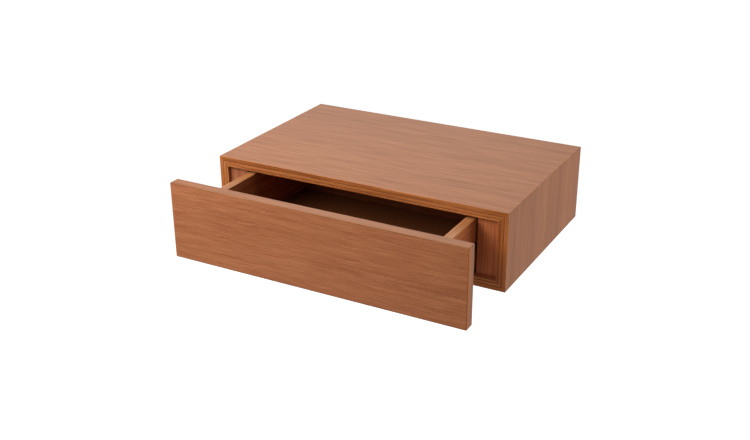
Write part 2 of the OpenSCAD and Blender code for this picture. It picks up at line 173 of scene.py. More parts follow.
def grain(tree, place, along, across, start, tones, figure, ripple=0.0, flame=0.0):
    """Printed beech. Along is the way of the grain, and across may lean into the piece's thickness, which
    takes the print round its arrises. Start is the corner of the print that the piece is cut from. Ripple
    is how far curls bend the grain, and flame how dark its tongues are. Returns the colour and the height
    of the fine lines."""
    light, dark, fleck = tones
    u = add(tree, "ShaderNodeVectorMath", {0: place, 1: along}, out="Value", operation="DOT_PRODUCT")
    v = add(tree, "ShaderNodeVectorMath", {0: place, 1: across}, out="Value", operation="DOT_PRODUCT")
    sheet = add(tree, "ShaderNodeCombineXYZ", {"X": u, "Y": v})
    sheet = add(tree, "ShaderNodeVectorMath", {0: sheet, 1: start}, operation="ADD")
    sway = streaks(tree, sheet, *SWAY)
    curl = streaks(tree, sheet, *CURL)
    curl = add(tree, "ShaderNodeMath", {0: curl, 1: ripple}, operation="MULTIPLY")
    sway = add(tree, "ShaderNodeMath", {0: sway, 1: SWAY_REACH, 2: curl}, operation="MULTIPLY_ADD")
    shift = add(tree, "ShaderNodeCombineXYZ", {"Y": sway})
    sheet = add(tree, "ShaderNodeVectorMath", {0: sheet, 1: shift}, operation="ADD")
    tone = 0.5 - 0.5 * sum(figure)
    for layer, strength in zip(PRINT_LAYERS, figure):
        marks = streaks(tree, sheet, *layer)
        tone = add(tree, "ShaderNodeMath", {0: marks, 1: strength, 2: tone}, operation="MULTIPLY_ADD")
    relief = marks
    colour = add(tree, "ShaderNodeMix", {0: tone, 6: dark, 7: light}, out=2, data_type="RGBA")
    for (length, width, begin, full), strength in ((TONGUES, flame), (RAYS, RAY_STRENGTH)):
        marks = streaks(tree, sheet, length, width)
        marks = add(tree, "ShaderNodeMapRange", {0: marks, 1: begin, 2: full, 3: 0.0, 4: strength})
        colour = add(tree, "ShaderNodeMix", {0: marks, 6: colour, 7: fleck}, out=2, data_type="RGBA")
    return colour, relief


def raw_board(tree, place):
    """Cut fibreboard: the height of its fibres, and its colour."""
    inputs = {"Vector": place, "Scale": 1 / RAW_FIBRE, "Detail": RAW_DETAIL}
    fibres = add(tree, "ShaderNodeTexNoise", inputs)
    colour = add(tree, "ShaderNodeMix", {0: fibres, 6: RAW_DARK, 7: RAW_LIGHT}, out=2, data_type="RGBA")
    return fibres, colour


def cut_edges(tree, place, node, facing, colour):
    """Shows the raw board deeper than the foil between a board's two foiled faces. Returns the colour
    and the roughness."""
    ends = [Vector(facing).dot(corner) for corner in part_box(node)]
    reach = abs(ends[0] - ends[1]) / 2 - FOIL_THICKNESS
    height = add(tree, "ShaderNodeVectorMath", {0: place, 1: facing}, out="Value", operation="DOT_PRODUCT")
    offset = add(tree, "ShaderNodeMath", {0: height, 1: sum(ends) / 2}, operation="SUBTRACT")
    offset = add(tree, "ShaderNodeMath", {0: offset}, operation="ABSOLUTE")
    raw = add(tree, "ShaderNodeMath", {0: offset, 1: reach}, operation="LESS_THAN")
    board = raw_board(tree, place)[1]
    colour = add(tree, "ShaderNodeMix", {0: raw, 6: colour, 7: board}, out=2, data_type="RGBA")
    return colour, add(tree, "ShaderNodeMapRange", {0: raw, 3: FOIL_ROUGHNESS, 4: RAW_ROUGHNESS})


def merged(node):
    """A CAD node's mesh with its doubles merged and its flat faces joined, to be worked on."""
    work = bmesh.new()
    work.from_mesh(frame["nodes"][node].data)
    bmesh.ops.remove_doubles(work, verts=work.verts, dist=MERGE)
    bmesh.ops.dissolve_limit(work, angle_limit=FLAT, verts=work.verts, edges=work.edges)
    return work


def settle(piece):
    """Turns a piece's modifiers into its plain mesh."""
    graph = bpy.context.evaluated_depsgraph_get()
    mesh = bpy.data.meshes.new_from_object(piece.evaluated_get(graph))
    piece.modifiers.clear()
    piece.data = mesh


def coat(piece, material):
    """Gives a piece its material."""
    piece.data.materials.clear()
    piece.data.materials.append(material)


def stand_in(work, node, material):
    """Makes the worked mesh the piece that takes a CAD node's place. Broad faces shade flat, and the
    eased arrises round."""
    mesh = bpy.data.meshes.new(node + "_eased")
    work.to_mesh(mesh)
    work.free()
    if "custom_normal" in mesh.attributes:
        mesh.attributes.remove(mesh.attributes["custom_normal"])
    mesh.shade_smooth()
    mesh.set_sharp_from_angle(angle=SHARP)
    piece = bpy.data.objects.new(node + "_eased", mesh)
    bpy.context.scene.collection.objects.link(piece)
    piece.modifiers.new("normals", "WEIGHTED_NORMAL").keep_sharp = True
    settle(piece)
    coat(piece, material)
    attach(piece, frame["nodes"][node]["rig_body"])
    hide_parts(node)


def fold(work, node, outward, along):
    """Rounds both outer arrises of a mitred piece as far as the mitres, by cuts tangent to the fold."""
    outward = Vector(outward)
    along = Vector(along)
    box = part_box(node)
    top = max(outward.dot(corner) for corner in box)
    reach = max(along.dot(corner) for corner in box)
    for way in (1, -1):
        centre = outward * (top - FOLD_RADIUS) + along * way * (reach - FOLD_RADIUS)
        for step in range(FOLD_STEPS):
            angle = MITRE * (step + 0.5) / FOLD_STEPS
            facing = math.cos(angle) * outward + math.sin(angle) * way * along
            parts = work.verts[:] + work.edges[:] + work.faces[:]
            cut = bmesh.ops.bisect_plane(work, geom=parts, plane_co=centre + FOLD_RADIUS * facing,
                                         plane_no=facing, clear_outer=True)
            loop = [part for part in cut["geom_cut"] if isinstance(part, bmesh.types.BMEdge)]
            bmesh.ops.contextual_create(work, geom=loop)
    return work


box_width = 2 * cad_high.x
box_height = 2 * cad_high.z
# Each wall's outward side, the way between its mitres, the way of the print on it, the place where that
# starts on the sheet, and its tones and figure.
walls = {
    "top_panel": ((0, 0, 1), (1, 0, 0), (1, 0, 0), 0.0, FOIL_TONES, FOIL_FIGURE),
    "right_panel": ((1, 0, 0), (0, 0, 1), (1, 0, -1), box_height / 2, SIDE_SHADE_TONES, SIDE_FIGURE),
    "bottom_panel": ((0, 0, -1), (1, 0, 0), (-1, 0, 0), box_width + box_height, FOIL_TONES, FOIL_FIGURE),
    "left_panel": ((-1, 0, 0), (0, 0, 1), (1, 0, 1), -box_height / 2, SIDE_SHADE_TONES, SIDE_FIGURE),
}
for node, (outward, along, print_along, print_start, tones, figure) in walls.items():
    foil, tree, place = new_material("melamine_foil_" + node)
    start = (print_start, 0, SLEEVE_CUT)
    colour, relief = grain(tree, place, print_along, (0, 1, 0), start, tones, figure, flame=SLEEVE_FLAME)
    colour, roughness = cut_edges(tree, place, node, outward, colour)
    surface(tree, colour, roughness, relief, PRINT_RELIEF, Specular_IOR_Level=FOIL_GLOSS)
    stand_in(fold(merged(node), node, outward, along), node, foil)


# The front bands: ABS edging 1.2 mm thick, ironed on the sleeve's front edges and mitred at the corners,
# with two fine lines pressed along it. It is a little smoother than the foil, and its print is straight
# and more orange.
EDGING_TONES = ("#C47840", "#9D5727", "#703A1C")
EDGING_FIGURE = (0.0, 1.1, 1.5, 1.2, 1.2)
EDGING_CUT = 17.3
EDGING_ROUGHNESS = 0.42
EDGING_GLOSS = 0.12
# Painted shade: the colour is darker down in the lines' grooves.
LINE_SHADE_COLOUR = "#6E3C1C"
LINE_DEPTH = 0.5 * MM
# The lines' painted shade keeps this far from the outer arris.
BAND_MARGIN = 1.0 * MM
BAND_EASE = 0.3 * MM
EASE_STEPS = 2
ARC_PROFILE = 0.5
# A point this near a side is on it, and faces that turn by more than ARRIS meet in an arris.
ON_SIDE = 0.05 * MM
ARRIS = math.radians(60)


def ease(work, radius, chosen):
    """Rounds the arrises whose middle is chosen."""
    arrises = [
        edge for edge in work.edges
        if len(edge.link_faces) == 2 and edge.calc_face_angle() > ARRIS
        and chosen((edge.verts[0].co + edge.verts[1].co) / 2)
    ]
    bmesh.ops.bevel(work, geom=arrises, offset=radius, segments=EASE_STEPS, profile=ARC_PROFILE,
                    affect="EDGES")
    return work


def box_arrises(*nodes):
    """A test that is true where two sides of these nodes' common box meet."""
    corners = [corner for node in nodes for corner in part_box(node)]
    sides = [(min(c[i] for c in corners), max(c[i] for c in corners)) for i in range(3)]
    return lambda at: sum(abs(at[i] - side) < ON_SIDE for i in range(3) for side in sides[i]) >= 2


# Each band's outward side, and the way between its mitres.
bands = {
    "top_edge_band": ((0, 0, 1), (1, 0, 0)),
    "bottom_edge_band": ((0, 0, -1), (1, 0, 0)),
    "left_edge_band": ((-1, 0, 0), (0, 0, 1)),
    "right_edge_band": ((1, 0, 0), (0, 0, 1)),
}
box_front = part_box("top_edge_band")[0].y
for number, (node, (outward, along)) in enumerate(bands.items()):
    edging, tree, place = new_material("abs_edging_" + node)
    start = (0, 0, EDGING_CUT + number)
    colour, relief = grain(tree, place, along, outward, start, EDGING_TONES, EDGING_FIGURE)
    # Painted shade: the colour darkens with depth in the lines' grooves.
    depth = add(tree, "ShaderNodeSeparateXYZ", {0: place}, out="Y")
    groove_shade = add(tree, "ShaderNodeMapRange", {0: depth, 1: box_front, 2: box_front + LINE_DEPTH})
    outer = max(Vector(outward).dot(corner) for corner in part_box(node))
    reach = add(tree, "ShaderNodeVectorMath", {0: place, 1: outward}, out="Value", operation="DOT_PRODUCT")
    inside = add(tree, "ShaderNodeMath", {0: reach, 1: outer - BAND_MARGIN}, operation="LESS_THAN")
    groove_shade = add(tree, "ShaderNodeMath", {0: groove_shade, 1: inside}, operation="MULTIPLY")
    colour = add(tree, "ShaderNodeMix", {0: groove_shade, 6: colour, 7: LINE_SHADE_COLOUR}, out=2, data_type="RGBA")
    surface(tree, colour, EDGING_ROUGHNESS, relief, PRINT_RELIEF, Specular_IOR_Level=EDGING_GLOSS)
    arrises = box_arrises(node)
    work = ease(merged(node), BAND_EASE, lambda at: at.y < box_front + ON_SIDE and arrises(at))
    stand_in(fold(work, node, outward, along), node, edging)


# The back panel: a sheet of plain hardboard in the sleeve's grooves, smooth on the side that faces the
# room. It squares the box and stops light. Hardboard is brown, faintly clouded and dull, and its fibres
# are drawn coarser than real ones, so that they show.
HARDBOARD_LIGHT = "#8A6546"
HARDBOARD_DARK = "#6E4D33"
HARDBOARD_ROUGHNESS = 0.6
HARDBOARD_FIBRE = 2.5 * MM
HARDBOARD_DETAIL = 4.0
HARDBOARD_RELIEF = 0.05 * MM
CLOUD = 40 * MM
CLOUD_DETAIL = 2.0
CLOUD_STRENGTH = 0.6

hardboard, tree, place = new_material("hardboard")
inputs = {"Vector": place, "Scale": 1 / HARDBOARD_FIBRE, "Detail": HARDBOARD_DETAIL}
fibres = add(tree, "ShaderNodeTexNoise", inputs)
clouds = add(tree, "ShaderNodeTexNoise", {"Vector": place, "Scale": 1 / CLOUD, "Detail": CLOUD_DETAIL})
inputs = {0: clouds, 1: CLOUD_STRENGTH, 2: -CLOUD_STRENGTH / 2}
tone = add(tree, "ShaderNodeMath", inputs, operation="MULTIPLY_ADD")
tone = add(tree, "ShaderNodeMath", {0: tone, 1: fibres}, operation="ADD")
colour = add(tree, "ShaderNodeMix", {0: tone, 6: HARDBOARD_DARK, 7: HARDBOARD_LIGHT}, out=2, data_type="RGBA")
surface(tree, colour, HARDBOARD_ROUGHNESS, fibres, HARDBOARD_RELIEF)
coat(frame["nodes"]["back_panel"], hardboard)


# The filler strips: foiled fibreboard on both sides of the drawer, 5 mm behind the front edge, glued to the
# packing rails. The grain stands upright in narrow stripes. The left strip's tones are painted duller, as
# painted shade on it.
LEFT_FILLER_SHADE_TONES = ("#BB744E", "#915435", FOIL_FLECK)
RIGHT_FILLER_TONES = ("#CD794B", "#9E5833", FOIL_FLECK)
FILLER_FIGURE = (0.0, 0.6, 0.9, 1.8, 0.7)
FILLER_CUT = 21.0
FILLER_LEAN = 0.6
FILLER_EASE = 0.3 * MM

fillers = {"left_filler": LEFT_FILLER_SHADE_TONES, "right_filler": RIGHT_FILLER_TONES}
for number, (node, tones) in enumerate(fillers.items()):
    foil, tree, place = new_material("upright_foil_" + node)
    start = (0, 0, FILLER_CUT + number)
    colour, relief = grain(tree, place, (0, 0, 1), (1, FILLER_LEAN, 0), start, tones, FILLER_FIGURE)
    surface(tree, colour, FOIL_ROUGHNESS, relief, PRINT_RELIEF, Specular_IOR_Level=FOIL_GLOSS)
    stand_in(ease(merged(node), FILLER_EASE, box_arrises(node)), node, foil)


# The filler dowels: two fluted beech pegs glued into each filler and its packing rail. The flutes let
# the glue out, and the eased ends help them in. Planed beech is pale, with dark flecks.
BEECH_TONES = ("#D6AE80", "#BE9163", "#8A5D3A")
BEECH_FIGURE = (0.0, 1.1, 1.5, 0.6, 1.2)
BEECH_CUT = 31.0
BEECH_LEAN = 0.6
BEECH_ROUGHNESS = 0.55
BEECH_RELIEF = 0.05 * MM
DOWEL_EASE = 0.8 * MM
FLUTES = 18
FLUTE_DEPTH = 0.25 * MM
POINTS_A_FLUTE = 4
MADE_SHARP = math.radians(35)
TURN_SEED = 7
# Like pieces are put in order by their places in metres to this many digits, which is 0.1 mm.
PLACE_DIGITS = 4


def new_group(name, sizes, **others):
    """A Geometry Nodes tree that takes a point for each piece, the named sizes, and other inputs by name
    and kind. Returns the tree and what it is given."""
    tree = bpy.data.node_groups.new(name, "GeometryNodeTree")
    tree.interface.new_socket("Places", in_out="INPUT", socket_type="NodeSocketGeometry")
    for size in sizes:
        tree.interface.new_socket(size, in_out="INPUT", socket_type="NodeSocketFloat")
    for other, kind in others.items():
        tree.interface.new_socket(other, in_out="INPUT", socket_type="NodeSocket" + kind)
    tree.interface.new_socket("Material", in_out="INPUT", socket_type="NodeSocketMaterial")
    tree.interface.new_socket("Pieces", in_out="OUTPUT", socket_type="NodeSocketGeometry")
    return tree, tree.nodes.new("NodeGroupInput").outputs


def turned(tree, outline, stations):
    """A closed solid along Z that has the outline's section, at each station's height and radius."""
    curve = add(tree, "GeometryNodeCurvePrimitiveLine", {"End": (0, 0, 1)})
    curve = add(tree, "GeometryNodeResampleCurve", {"Curve": curve, "Count": len(stations)})
    index = add(tree, "GeometryNodeInputIndex", {})
    columns = []
    for column in (0, 1):
        switch = tree.nodes.new("GeometryNodeIndexSwitch")
        switch.data_type = "FLOAT"
        while len(switch.index_switch_items) < len(stations):
            switch.index_switch_items.new()
        tree.links.new(index, switch.inputs[0])
        for number, station in enumerate(stations):
            tree.links.new(station[column], switch.inputs[number + 1])
        columns.append(switch.outputs[0])
    spot = add(tree, "ShaderNodeCombineXYZ", {"Z": columns[0]})
    curve = add(tree, "GeometryNodeSetPosition", {"Geometry": curve, "Position": spot})
    inputs = {"Curve": curve, "Profile Curve": outline, "Scale": columns[1], "Fill Caps": True}
    return add(tree, "GeometryNodeCurveToMesh", inputs)


def set_in_place(tree, given, shapes):
    """Ends a tree: puts the shapes on every point, along its axis and turned by chance."""
    joined = tree.nodes.new("GeometryNodeJoinGeometry")
    for shape in shapes:
        tree.links.new(shape, joined.inputs[0])
    axis = add(tree, "GeometryNodeInputNamedAttribute", {"Name": "axis"}, data_type="FLOAT_VECTOR")
    turn = add(tree, "FunctionNodeAlignRotationToVector", {"Vector": axis}, axis="Z")
    chance = add(tree, "FunctionNodeRandomValue", {3: math.tau, "Seed": TURN_SEED}, out=1, data_type="FLOAT")
    spin = add(tree, "FunctionNodeAxisAngleToRotation", {"Axis": (0, 0, 1), "Angle": chance})
    turn = add(tree, "FunctionNodeRotateRotation", {0: turn, 1: spin}, rotation_space="LOCAL")
    inputs = {"Points": given["Places"], "Instance": joined.outputs[0], "Rotation": turn}
    pieces = add(tree, "GeometryNodeInstanceOnPoints", inputs)
    pieces = add(tree, "GeometryNodeRealizeInstances", {"Geometry": pieces})
    pieces = add(tree, "GeometryNodeSetMaterial", {"Geometry": pieces, "Material": given["Material"]})
    tree.links.new(pieces, tree.nodes.new("NodeGroupOutput").inputs["Pieces"])


def solids(node):
    """The lowest and highest corner of each separate solid of a CAD node, in the order of their places, so
    that chance turns each of them the same way in every run."""
    work = merged(node)
    left = set(work.verts)
    boxes = []
    while left:
        near = [left.pop()]
        solid = []
        while near:
            vert = near.pop()
            solid.append(vert.co)
            joined = {edge.other_vert(vert) for edge in vert.link_edges} & left
            left -= joined
            near.extend(joined)
        boxes.append([Vector([pick(place[i] for place in solid) for i in range(3)]) for pick in (min, max)])
    work.free()
    return sorted(boxes, key=lambda box: [round(value, PLACE_DIGITS) for value in box[0]])


def grow(node, tree, axis_at, sizes_for, material):
    """Runs a tree at each solid of a CAD node, along the axis that is given for the solid's middle. Its
    sizes come from the solid's length and width. The mesh takes the node's place."""
    starts = []
    axes = []
    for low, high in solids(node):
        middle = (low + high) / 2
        axis = Vector(axis_at(middle))
        length = abs((high - low).dot(axis))
        width = sorted(high - low)[1]
        starts.append(middle - axis * length / 2)
        axes.extend(axis)
    mesh = bpy.data.meshes.new(node + "_made")
    mesh.from_pydata(starts, [], [])
    mesh.attributes.new("axis", "FLOAT_VECTOR", "POINT").data.foreach_set("vector", axes)
    piece = bpy.data.objects.new(node + "_made", mesh)
    bpy.context.scene.collection.objects.link(piece)
    modifier = piece.modifiers.new("made", "NODES")
    modifier.node_group = tree
    values = sizes_for(length, width)
    values["Material"] = material
    for item in tree.interface.items_tree:
        if item.name in values:
            modifier[item.identifier] = values[item.name]
    settle(piece)
    work = bmesh.new()
    work.from_mesh(piece.data)
    bmesh.ops.remove_doubles(work, verts=work.verts, dist=MERGE)
    bmesh.ops.recalc_face_normals(work, faces=work.faces)
    work.to_mesh(piece.data)
    work.free()
    piece.data.shade_smooth()
    piece.data.set_sharp_from_angle(angle=MADE_SHARP)
    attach(piece, frame["nodes"][node]["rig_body"])
    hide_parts(node)


fluted_dowel, given = new_group("fluted_dowel", (
    "Start", "Narrow", "Ease", "Radius", "Far ease", "Length", "Flute share",
), Flutes="Int")
tree = fluted_dowel
points = add(tree, "ShaderNodeMath", {0: given["Flutes"], 1: POINTS_A_FLUTE}, operation="MULTIPLY")
ring = add(tree, "GeometryNodeCurvePrimitiveCircle", {"Resolution": points, "Radius": 1.0})
index = add(tree, "GeometryNodeInputIndex", {})
count = add(tree, "ShaderNodeMath", {0: index, 1: POINTS_A_FLUTE}, operation="MODULO")
first = add(tree, "ShaderNodeMath", {0: count, 1: 1.0}, operation="LESS_THAN")
cut = add(tree, "ShaderNodeMath", {0: first, 1: given["Flute share"]}, operation="MULTIPLY")
scale = add(tree, "ShaderNodeMath", {0: 1.0, 1: cut}, operation="SUBTRACT")
spot = add(tree, "GeometryNodeInputPosition", {})
spot = add(tree, "ShaderNodeVectorMath", {0: spot, "Scale": scale}, operation="SCALE")
ring = add(tree, "GeometryNodeSetPosition", {"Geometry": ring, "Position": spot})
dowel = turned(tree, ring, [
    (given["Start"], given["Narrow"]),
    (given["Ease"], given["Radius"]),
    (given["Far ease"], given["Radius"]),
    (given["Length"], given["Narrow"]),
])
set_in_place(tree, given, [dowel])


def dowel_sizes(length, width):
    """The dowel tree's sizes for a dowel of that length and width."""
    radius = width / 2
    return {
        "Radius": radius, "Narrow": radius - DOWEL_EASE, "Length": length, "Ease": DOWEL_EASE,
        "Far ease": length - DOWEL_EASE, "Flutes": FLUTES, "Flute share": FLUTE_DEPTH / radius,
    }


def rearwards(middle):
    """The way towards the wall."""
    return (0, 1, 0)


beech, tree, place = new_material("planed_beech")
start = (0, 0, BEECH_CUT)
colour, relief = grain(tree, place, (0, 1, 0), (BEECH_LEAN, 0, 1), start, BEECH_TONES, BEECH_FIGURE)
surface(tree, colour, BEECH_ROUGHNESS, relief, BEECH_RELIEF)
grow("filler_dowels", fluted_dowel, rearwards, dowel_sizes, beech)


# The packing rails: raw fibreboard behind the fillers, screwed to the side walls. They carry the
# runners. The board is pale, dull and fibrous.
RAIL_EASE = 0.5 * MM
RAIL_RELIEF = 0.1 * MM

fibreboard, tree, place = new_material("raw_fibreboard")
fibres, colour = raw_board(tree, place)
surface(tree, colour, RAW_ROUGHNESS, fibres, RAIL_RELIEF)
for node in ("left_packing_rail", "right_packing_rail"):
    stand_in(ease(merged(node), RAIL_EASE, box_arrises(node)), node, fibreboard)


# The packing rail screws: three countersunk wood screws through each rail into the wall. They are
# cold-headed from steel wire, thread-rolled and zinc-plated, which leaves a cool, even and slightly
# cloudy shine.
ZINC_LIGHT = "#CDD0D3"
ZINC_DARK = "#B4B7BA"
ZINC_SMOOTH = 0.45
ZINC_ROUGH = 0.6
ZINC_CLOUD = 6 * MM
ZINC_DETAIL = 2.0
ZINC_RELIEF = 0.01 * MM
SCREW_SIDES = 24
SCREW_RIM = 0.2 * MM
# In diameters of the thread: the core's radius, the pitch, the point's length, and the length, width and
# height of the arms that cut the cross in the head. The tip is in radii of the core.
SCREW_CORE = 0.35
SCREW_PITCH = 0.5
SCREW_POINT = 1.2
SCREW_CROSS = (1.2, 0.2, 0.7)
SCREW_TIP = 0.1
# How many radii of the ridge's triangle stand out of the core, and the share it keeps at its end.
RIDGE_SHOWN = 1.4
RIDGE_END = 0.05
STEPS_A_TURN = 16
THREAD_SIZES = ("Turns", "Ridge radius", "Ridge size", "Thread start", "Thread length", "Run out")

zinc, tree, place = new_material("zinc_plated_steel")
cloud = add(tree, "ShaderNodeTexNoise", {"Vector": place, "Scale": 1 / ZINC_CLOUD, "Detail": ZINC_DETAIL})
colour = add(tree, "ShaderNodeMix", {0: cloud, 6: ZINC_DARK, 7: ZINC_LIGHT}, out=2, data_type="RGBA")
roughness = add(tree, "ShaderNodeMapRange", {0: cloud, 3: ZINC_SMOOTH, 4: ZINC_ROUGH})
surface(tree, colour, roughness, cloud, ZINC_RELIEF, Metallic=1.0)


def thread(tree, given):
    """A right-handed ridge of triangular section that winds round a core, and shrinks towards its end."""
    inputs = {
        "Resolution": STEPS_A_TURN, "Rotations": given["Turns"], "Start Radius": given["Ridge radius"],
        "End Radius": given["Ridge radius"], "Height": given["Thread length"], "Reverse": True,
    }
    helix = add(tree, "GeometryNodeCurveSpiral", inputs)
    spot = add(tree, "GeometryNodeInputPosition", {})
    rise = add(tree, "ShaderNodeSeparateXYZ", {0: spot}, out="Z")
    left = add(tree, "ShaderNodeMath", {0: given["Thread length"], 1: rise}, operation="SUBTRACT")
    taper = add(tree, "ShaderNodeMath", {0: left, 1: given["Run out"]}, operation="DIVIDE")
    taper = add(tree, "ShaderNodeClamp", {0: taper, 1: RIDGE_END, 2: 1.0})
    narrowing = add(tree, "ShaderNodeCombineXYZ", {"X": taper, "Y": taper, "Z": 1.0})
    spot = add(tree, "ShaderNodeVectorMath", {0: spot, 1: narrowing}, operation="MULTIPLY")
    start = add(tree, "ShaderNodeCombineXYZ", {"Z": given["Thread start"]})
    helix = add(tree, "GeometryNodeSetPosition", {"Geometry": helix, "Position": spot, "Offset": start})
    helix = add(tree, "GeometryNodeSetCurveNormal", {"Curve": helix}, mode="Z_UP")
    ridge = add(tree, "GeometryNodeCurvePrimitiveCircle", {"Resolution": 3, "Radius": 1.0})
    size = add(tree, "ShaderNodeMath", {0: given["Ridge size"], 1: taper}, operation="MULTIPLY")
    inputs = {"Curve": helix, "Profile Curve": ridge, "Scale": size, "Fill Caps": True}
    return add(tree, "GeometryNodeCurveToMesh", inputs)


def thread_sizes(core, crest, start, length, pitch, run_out):
    """The thread's sizes: the ridge stands on the core's radius and reaches the crest's."""
    ridge = (crest - core) / RIDGE_SHOWN
    return {
        "Turns": length / pitch, "Ridge radius": crest - ridge, "Ridge size": ridge,
        "Thread start": start, "Thread length": length, "Run out": run_out,
    }


wood_screw, given = new_group("wood_screw", (
    "Top", "Head radius", "Rim", "Neck", "Core radius", "Shank end", "Length", "Tip radius", *THREAD_SIZES,
), Recess="Vector", Sides="Int")
tree = wood_screw
ring = add(tree, "GeometryNodeCurvePrimitiveCircle", {"Resolution": given["Sides"], "Radius": 1.0})
blank = turned(tree, ring, [
    (given["Top"], given["Head radius"]),
    (given["Rim"], given["Head radius"]),
    (given["Neck"], given["Core radius"]),
    (given["Shank end"], given["Core radius"]),
    (given["Length"], given["Tip radius"]),
])
cross = tree.nodes.new("GeometryNodeMeshBoolean")
cross.operation = "DIFFERENCE"
cross.solver = "EXACT"
tree.links.new(blank, cross.inputs[0])
arm = add(tree, "GeometryNodeMeshCube", {"Size": given["Recess"]})
for turn in (0, math.pi / 2):
    turned_arm = add(tree, "GeometryNodeTransform", {"Geometry": arm, "Rotation": (0, 0, turn)})
    tree.links.new(turned_arm, cross.inputs[1])
set_in_place(tree, given, [cross.outputs[0], thread(tree, given)])


def screw_sizes(length, width):
    """The screw tree's sizes. The head is twice as wide as the thread, and its cone is 45 degrees."""
    diameter = width / 2
    core = SCREW_CORE * diameter
    neck = SCREW_RIM + diameter - core
    point = SCREW_POINT * diameter
    sizes = thread_sizes(core, diameter / 2, neck, length - neck, SCREW_PITCH * diameter, point)
    sizes.update({
        "Head radius": diameter, "Rim": SCREW_RIM, "Neck": neck, "Core radius": core,
        "Shank end": length - point, "Length": length, "Tip radius": SCREW_TIP * core,
        "Recess": tuple(share * diameter for share in SCREW_CROSS), "Sides": SCREW_SIDES,
    })
    return sizes


def outwards(middle):
    """The X direction away from the middle of the shelf."""
    return (math.copysign(1, middle.x), 0, 0)


grow("packing_rail_screws", wood_screw, outwards, screw_sizes, zinc)


# The runners: planed steamed beech, screwed to the packing rails with three screws each. They carry the
# drawer by the grooves in its sides.
RUNNER_EASE = 0.4 * MM

for node in ("left_runner", "right_runner"):
    stand_in(ease(merged(node), RUNNER_EASE, box_arrises(node)), node, beech)
grow("runner_screws", wood_screw, outwards, screw_sizes, zinc)


# The wall bracket: folded from 2 mm steel sheet, punched for four wall screws and zinc-plated. The box
# slides over it, and two lock screws come up through the bottom panel into its lower flange.
coat(frame["nodes"]["wall_bracket"], zinc)


def upwards(middle):
    """The way of the screws that are driven from below."""
    return (0, 0, 1)


grow("lock_screws", wood_screw, upwards, screw_sizes, zinc)


# The drawer's sides and back: fibreboard foiled on both faces, with the grain along each board. The grooves
# and the lower edges are raw. The right side's tones are painted lighter than the left side's, as painted
# light, and the back's darkest, as painted shade deep in the box.
DRAWER_FLECK = "#6E361B"
LEFT_TONES = ("#AE683C", "#904F2D", DRAWER_FLECK)
RIGHT_SIDE_LIT_TONES = ("#C47545", "#A25A34", DRAWER_FLECK)
BACK_SHADE_TONES = ("#824B29", "#6B381F", DRAWER_FLECK)
DRAWER_FIGURE = (0.0, 0.9, 1.2, 0.3, 1.2)
DRAWER_CUT = 61.0

# Each board's grain, the way between its foiled faces, and its tones.
boards = {
    "drawer_left_side": ((0, 1, 0), (1, 0, 0), LEFT_TONES),
    "drawer_right_side": ((0, 1, 0), (1, 0, 0), RIGHT_SIDE_LIT_TONES),
    "drawer_back": ((1, 0, 0), (0, 1, 0), BACK_SHADE_TONES),
}
for number, (node, (along, facing, tones)) in enumerate(boards.items()):
    foil, tree, place = new_material("melamine_foil_" + node)
    colour, relief = grain(tree, place, along, (0, 0, 1), (0, 0, DRAWER_CUT + number), tones, DRAWER_FIGURE)
    colour, roughness = cut_edges(tree, place, node, facing, colour)
    surface(tree, colour, roughness, relief, PRINT_RELIEF, Specular_IOR_Level=FOIL_GLOSS)
    coat(frame["nodes"][node], foil)


# The bands on the tops of the drawer's sides and back: thin melamine edging, ironed on and trimmed, which
# leaves the long arrises slightly round. It is streaked, and as smooth as the box's edging.
TRIM_TONES = ("#BC7F4F", "#9B6034", "#84502C")
TRIM_FIGURE = (0.0, 1.1, 1.5, 0.0, 1.2)
TRIM_CUT = 71.0
TRIM_EASE = 0.3 * MM

# Each band's grain, and the way across it.
trims = {
    "left_side_band": ((0, 1, 0), (1, 0, 0)),
    "right_side_band": ((0, 1, 0), (1, 0, 0)),
    "drawer_back_band": ((1, 0, 0), (0, 1, 0)),
}
for number, (node, (along, across)) in enumerate(trims.items()):
    edging, tree, place = new_material("melamine_edging_" + node)
    colour, relief = grain(tree, place, along, across, (0, 0, TRIM_CUT + number), TRIM_TONES, TRIM_FIGURE)
    surface(tree, colour, EDGING_ROUGHNESS, relief, PRINT_RELIEF, Specular_IOR_Level=EDGING_GLOSS)
    stand_in(ease(merged(node), TRIM_EASE, box_arrises(node)), node, edging)


# The drawer back screws: two zinc-plated wood screws at each rear corner, driven through the side into
# the end of the back.


def inwards(middle):
    """The X direction towards the middle of the shelf."""
    return (-math.copysign(1, middle.x), 0, 0)


grow("drawer_back_screws", wood_screw, inwards, screw_sizes, zinc)


# The drawer bottom: 3 mm hardboard slid into the grooves from behind, painted dark brown where it shows
# and rough below, where the wet pulp lay on a wire screen. Three screws hold it up to the back.
PAINT_LIGHT = "#864F29"
PAINT_DARK = "#68381B"
PAINT_ROUGHNESS = 0.5
SCREEN_ROUGHNESS = 0.8
SCREEN_PITCH = 1.6 * MM
SCREEN_DEPTH = 0.15 * MM
WAVE_RATE = 20

painted, tree, place = new_material("painted_hardboard")
inputs = {"Vector": place, "Scale": 1 / HARDBOARD_FIBRE, "Detail": HARDBOARD_DETAIL}
fibres = add(tree, "ShaderNodeTexNoise", inputs)
paint = add(tree, "ShaderNodeMix", {0: fibres, 6: PAINT_DARK, 7: PAINT_LIGHT}, out=2, data_type="RGBA")
